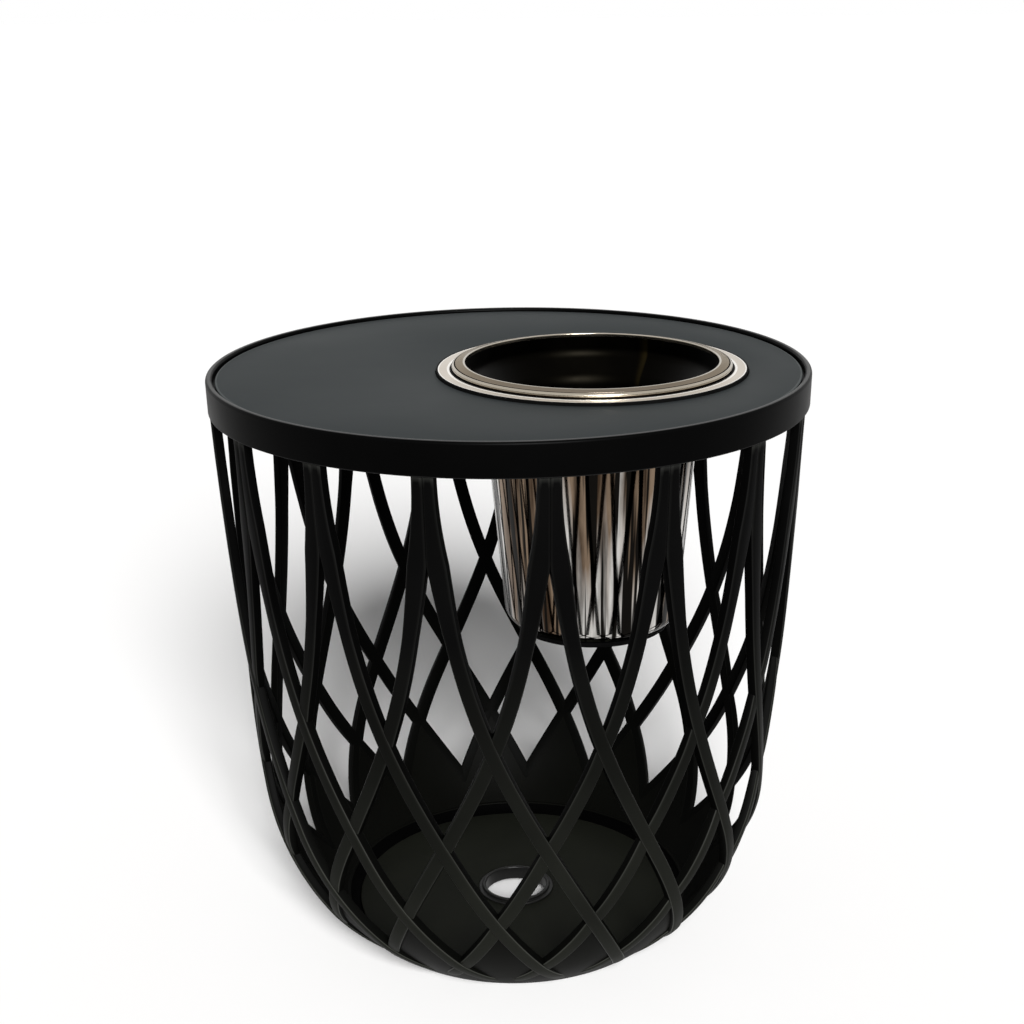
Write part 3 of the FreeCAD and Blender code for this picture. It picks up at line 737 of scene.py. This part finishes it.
def bucket_trim_ring(face, edge, border):
    """Trim ring with a turned-down outer edge, a black border and a fine bead beside the gasket; the bead and a band
    inside the border take a paler metal as painted highlight.
    """
    low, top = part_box("bucket_trim_ring")[0].z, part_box("bucket_trim_ring")[1].z
    inner, collar, lip = 92.5 * MM, 94.7 * MM, TRIM_EDGE - 2.2 * MM
    bead, bead_foot, bead_crown, bead_top = 102.1 * MM, 0.9 * MM, 0.6 * MM, top + 0.25 * MM
    step, border_top = TRIM_EDGE - 1.2 * MM, top + 0.2 * MM
    trim_highlight_from, slack = step - 0.9 * MM, 0.05 * MM
    profile = rounded_profile([
        (inner, low, 0.3), (collar, low, 0.3), (collar, PLATE_TOP, 0), (lip, PLATE_TOP, 0), (lip, PLATE_FOOT, 0.2),
        (TRIM_EDGE, PLATE_FOOT, 0.2), (TRIM_EDGE, border_top, 0.3), (step, border_top, 0.1), (step, top, 0.1),
        (trim_highlight_from, top, 0), (bead + bead_foot, top, 0.2), (bead + bead_crown, bead_top, 0.3),
        (bead - bead_crown, bead_top, 0.3), (bead - bead_foot, top, 0.2), (inner, top, 0.8),
    ])

    # Painted highlight: the bead and the band inside the border take the paler metal given as edge.
    def pick(a, b):
        middle = (a[0] + b[0]) / 2
        if middle > step - slack:
            return 2
        return 1 if abs(middle - bead) < bead_foot + slack or middle > trim_highlight_from else 0

    obj = lathe("trim_ring", profile, [face, edge, border], HOLE_X, pick)
    return dress(obj, "table_top", "trim_metal", "bucket_trim_ring")


def bucket_gasket(material):
    """Gasket under the rim, with a thin flange that shows as a black line round it."""
    low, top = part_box("bucket_gasket")[0].z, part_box("bucket_gasket")[1].z
    inner, outer, flange = 93.5 * MM, 97.9 * MM, 101.1 * MM
    flange_top = low + 0.25 * MM
    corners = [(inner, low), (flange, low), (flange, flange_top), (outer, flange_top), (outer, top), (inner, top)]
    profile = rounded_profile([corner + (0.1,) for corner in corners])
    obj = lathe("gasket", profile, [material], HOLE_X)
    return dress(obj, "table_top", "rubber_black", "bucket_gasket")


# Pieces of the bucket

def bucket_shell(steel, inside):
    """Bucket with a rounded base, a tapered wall and a straight neck under the rim."""
    wall, wall_rise = 1.0 * MM, 0.3 * MM
    low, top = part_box("bucket_shell")[0].z + 3 * MM, RIM_HEIGHT - 2.8 * MM
    base, waist, neck = 63.5 * MM, 77.8 * MM, 91.8 * MM
    flat_base = base - 8 * MM
    flare_low, flare_top = 406.5 * MM, 423.5 * MM
    corners = [(0.0, low, 0), (base, low, 10), (waist, flare_low, 16), (neck, flare_top, 12), (neck, top, 0)]
    outer = rounded_profile(corners, steps=10)
    inner = [(r - wall if r > wall else 0.0, z + (wall if r < flat_base else wall_rise)) for r, z in outer]
    inner[-1] = (neck - wall, top)

    def pick(a, b):
        return 1 if a in inner and b in inner else 0

    obj = lathe("bucket_wall", outer + inner[::-1], [steel, inside], HOLE_X, pick)
    return dress(obj, "ice_bucket", "bucket_steel", "bucket_shell")


def bucket_rim(roll, band, groove):
    """Broad rim: an inner lip, a band that falls outwards, a fine groove and the outer roll; the groove, the underside
    and the roll's foot are painted dark as shade.
    """
    low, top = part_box("bucket_rim")[0].z, RIM_HEIGHT
    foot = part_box("bucket_trim_ring")[1].z + 0.4 * MM
    shade, underside = foot + 1.1 * MM, low + 0.2 * MM
    outer, shelf, roll_in, neck, lip = 99.7 * MM, 98.2 * MM, 98.1 * MM, 91.85 * MM, 90.2 * MM
    roll_top, groove_low, lip_low = top - 1.3 * MM, top - 1.9 * MM, top - 2.6 * MM
    groove_from, groove_to, band_from = 97.25 * MM, 98.0 * MM, 91.6 * MM
    profile = rounded_profile([
        (neck, low, 0), (shelf, low, 0.1), (shelf, foot, 0.2), (outer, foot, 0.3), (outer, shade, 0),
        (outer, top - 2.3 * MM, 1.0), (outer - 1.2 * MM, roll_top, 0.4), (roll_in, roll_top, 0.1),
        (97.9 * MM, groove_low, 0.1), (97.4 * MM, groove_low, 0.1), (97.2 * MM, top - 1.0 * MM, 0.2),
        (91.7 * MM, top - 0.15 * MM, 0), (91.3 * MM, top, 0.2), (lip, top, 0.5),
        (lip, lip_low, 0.1), (neck, lip_low, 0),
    ], steps=6)

    def pick(a, b):
        # Painted shade: the groove, the underside and the roll's foot below shade take the dark metal.
        middle, height = (a[0] + b[0]) / 2, (a[1] + b[1]) / 2
        if height < underside or groove_from < middle <= groove_to:
            return 2
        if middle > groove_to:
            return 2 if height < shade else 0
        return 1 if middle > band_from else 0

    obj = lathe("bucket_rolled_rim", profile, [roll, band, groove], HOLE_X, pick)
    return dress(obj, "ice_bucket", "rim_bronze", "bucket_rim")


def bucket_base_ring(material):
    """Thin black ring under the bucket."""
    low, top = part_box("bucket_base_ring")[0].z + 4 * MM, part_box("bucket_base_ring")[1].z + 3 * MM
    inner, outer = 50 * MM, 57 * MM
    profile = rounded_profile([(inner, low, 1), (outer, low, 1.5), (outer + 1 * MM, top, 0.3), (inner, top, 0.3)])
    obj = lathe("bucket_foot_ring", profile, [material], HOLE_X)
    return dress(obj, "ice_bucket", "rubber_black", "bucket_base_ring")


# Pieces in the bowl

def floor_plate(material):
    """Disc on the bowl's floor, its edge reaching over the groove."""
    low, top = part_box("floor_plate")[0].z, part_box("floor_plate")[1].z
    foot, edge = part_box("floor_plate")[1].x, wall_radius(top, True) - 3.2 * MM
    profile = rounded_profile([(DRAIN_HOLE, low, 0.3), (foot, low, 1.0), (edge, top - 1 * MM, 0.4),
                               (edge, top, 0.6), (DRAIN_HOLE, top, 0.3)])
    return dress(lathe("floor_disc", profile, [material]), "basket", "floor_plate_dark", "floor_plate")


def drain_collar(material):
    """Ring with a flange in two steps, its bore open to the ground."""
    low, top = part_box("drain_collar")[0].z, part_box("drain_collar")[1].z
    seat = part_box("floor_plate")[1].z
    flange_top = seat + 1.6 * MM
    bore, tube, flange, step = 23.8 * MM, 27.0 * MM, 29.4 * MM, 26.6 * MM
    profile = rounded_profile([
        (bore, low, 0.4), (tube, low, 0.4), (tube, seat, 0), (flange, seat, 0.2), (flange, flange_top, 0.9),
        (step, flange_top, 0.4), (step, top, 1.1), (bore, top, 1.1),
    ], steps=6)
    return dress(lathe("drain_ring", profile, [material], segments=128), "basket", "collar_black", "drain_collar")


def foot_pads(material):
    """Round pads under the bowl's foot."""
    count, circle, sides = 6, 112 * MM, 32
    radius, height = 6 * MM, 1.5 * MM
    rings = [(radius - 0.5 * MM, 0.0), (radius, 0.4 * MM), (radius, height)]
    faces = ring_faces(len(rings), sides, False)
    faces += [tuple(range(sides)), tuple(range(2 * sides, 3 * sides))]
    pads = []
    for k in range(count):
        a = 2 * math.pi * k / count
        centre = Vector((circle * math.cos(a), circle * math.sin(a), 0))
        verts = []
        for r, z in rings:
            for s in range(sides):
                b = 2 * math.pi * s / sides
                verts.append(centre + Vector((r * math.cos(b), r * math.sin(b), z)))
        pads.append((verts, faces))
    return dress(new_object("foot_pad_set", *joined(pads), [material]), "basket", "rubber_black", "foot_pads")


# Studio

def studio_floor():
    """Pale floor that stays white round the object and keeps its shadow."""
    mesh = bpy.data.meshes.new("studio_floor")
    half = 30.0
    mesh.from_pydata([(-half, -half, 0), (half, -half, 0), (half, half, 0), (-half, half, 0)], [], [(0, 1, 2, 3)])
    floor = bpy.data.objects.new("studio_floor", mesh)
    bpy.context.scene.collection.objects.link(floor)
    m = Nodes("studio_floor")
    m.constants(m.shader, Roughness=0.9, Specular_IOR_Level=0.05)
    seen = m.add("ShaderNodeLightPath").outputs["Is Camera Ray"]
    m.link(m.mix(seen, (0.78, 0.775, 0.77), (0.99, 0.985, 0.98)), m.shader.inputs["Base Color"])
    mesh.materials.append(m.material)


def world_light():
    """Even surroundings, white to the camera and in reflections."""
    level = 0.13
    world = bpy.data.worlds.new("studio_world")
    bpy.context.scene.world = world
    world.use_nodes = True
    tree = world.node_tree
    background = tree.nodes["Background"]
    background.inputs["Color"].default_value = (1, 1, 1, 1)
    path = tree.nodes.new("ShaderNodeLightPath")
    seen = path.outputs["Is Camera Ray"]
    for name in ("Is Transmission Ray", "Is Glossy Ray"):
        either = tree.nodes.new("ShaderNodeMath")
        either.operation = "MAXIMUM"
        tree.links.new(seen, either.inputs[0])
        tree.links.new(path.outputs[name], either.inputs[1])
        seen = either.outputs[0]
    spread = tree.nodes.new("ShaderNodeMapRange")
    spread.inputs["To Min"].default_value = level
    spread.inputs["To Max"].default_value = 1.0
    tree.links.new(seen, spread.inputs["Value"])
    tree.links.new(spread.outputs["Result"], background.inputs["Strength"])


def sun(name, azimuth, elevation, strength, softness):
    """A broad far light: its direction, power and apparent width in degrees."""
    data = bpy.data.lights.new(name, "SUN")
    data.energy = strength
    data.angle = math.radians(softness)
    lamp = bpy.data.objects.new(name, data)
    a, e = math.radians(azimuth), math.radians(elevation)
    towards = Vector((math.cos(a) * math.cos(e), math.sin(a) * math.cos(e), math.sin(e)))
    lamp.rotation_euler = towards.to_track_quat("Z", "Y").to_euler()
    bpy.context.scene.collection.objects.link(lamp)


def photo_camera():
    """Camera as fitted to the photograph, the bucket's hole towards its right."""
    azimuth, distance, height = math.radians(-80.7), 1176 * MM, TOP_HEIGHT + 262.8 * MM
    pitch, yaw, roll = math.radians(17.69), math.radians(0.05), math.radians(-0.82)
    focal_pixels, photo_pixels, sensor = 1673.0, 1024, 36
    data = bpy.data.cameras.new("photo_camera")
    data.sensor_width = sensor
    data.lens = focal_pixels / photo_pixels * sensor
    camera = bpy.data.objects.new("photo_camera", data)
    place = Vector((distance * math.cos(azimuth), distance * math.sin(azimuth), height))
    turn = Matrix.Rotation(azimuth + math.pi / 2 - yaw, 4, "Z")
    turn = turn @ Matrix.Rotation(math.pi / 2 - pitch, 4, "X") @ Matrix.Rotation(roll, 4, "Z")
    camera.matrix_world = Matrix.Translation(place) @ turn
    bpy.context.scene.collection.objects.link(camera)
    bpy.context.scene.camera = camera


def main():
    bpy.context.scene.view_settings.view_transform = "Standard"
    photo_camera()
    worn = (0.050, 0.051, 0.046)
    # The last colour given to the rib and bowl plastics is painted light, paler towards the ground.
    black = moulded_plastic("basket_black", grey(0.0014), worn, 0.42, 0.015, (0.0090, 0.0095, 0.0076))
    bowl_black = moulded_plastic("bowl_black", (0.0013, 0.0013, 0.0012), (0.008, 0.008, 0.007), 0.45, 0.02,
                                 (0.0020, 0.0021, 0.0016))
    # Painted highlight lines on the tray: along the bead's crown and along the skirt's lower lip.
    highlight_lines = ((TOP_HEIGHT - 0.40 * MM, TOP_HEIGHT - 0.08 * MM, 0.45), (412.4 * MM, 411.7 * MM, 0.10))
    tray_black = moulded_plastic("tray_black", grey(0.0006), grey(0.006), 0.34, 0.02, highlight_bands=highlight_lines)
    olive = moulded_plastic("floor_plate_dark", (0.0086, 0.0093, 0.0068), (0.014, 0.014, 0.012), 0.5, 0.035)
    collar = moulded_plastic("collar_black", (0.0040, 0.0040, 0.0036), (0.030, 0.030, 0.028), 0.34, 0.25)
    steel = polished_steel("bucket_steel")
    inside = bucket_inside_shade("bucket_inside")
    trim = metal("trim_metal", (0.60, 0.55, 0.485), (0.54, 0.49, 0.425), 0.42, lines=(1, 1, 1), line_scale=400.0)
    # Paler trim metal: a painted highlight on the trim's bead and outer band.
    trim_edge = metal("trim_edge", (0.92, 0.89, 0.84), (0.86, 0.83, 0.78), 0.26)
    bronze = metal("rim_bronze", (0.44, 0.395, 0.325), (0.37, 0.33, 0.265), 0.16)
    taupe = metal("rim_taupe", (0.195, 0.165, 0.135), (0.158, 0.132, 0.105), 0.22, grazing=(0.75, 0.70, 0.62))
    # Dark metal painted as shade in the rim's groove, under the rim and at the roll's foot.
    groove = metal("rim_painted_shade", (0.016, 0.011, 0.007), (0.010, 0.007, 0.004), 0.45, grazing=(0.04, 0.03, 0.02))
    black_rubber = rubber("rubber_black")
    # Paler black for the ribs' edge strips is a painted highlight. Darker black for their sides and backs is painted
    # shade.
    highlight_black = moulded_plastic("rib_painted_highlight", grey(0.0022), worn, 0.36, 0.05, (0.0240, 0.0250, 0.0212))
    shade_black = moulded_plastic("rib_painted_shade", grey(0.0006), grey(0.003), 0.45, 0.015, (0.0016, 0.0017, 0.0014))
    # Near black: the painted shade in the bowl's groove round the floor plate.
    groove_painted_shade = moulded_plastic("groove_painted_shade", grey(0.0005), grey(0.002), 0.5, 0.01)
    basket_moulding({"crown": black, "edge": highlight_black, "inner": shade_black, "bowl": bowl_black,
                     "groove": groove_painted_shade})
    floor_plate(olive)
    drain_collar(collar)
    foot_pads(black_rubber)
    top_tray(tray_black)
    top_plate(slate_plate())
    bucket_trim_ring(trim, trim_edge, black_rubber)
    bucket_gasket(black_rubber)
    bucket_shell(steel, inside)
    bucket_rim(bronze, taupe, groove)
    bucket_base_ring(black_rubber)
    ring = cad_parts["basket_top_ring"]
    for place in ring.material_slots:
        place.material = black
    studio_floor()
    world_light()
    sun("key", azimuth=-72, elevation=31, strength=5.5, softness=24)


main()
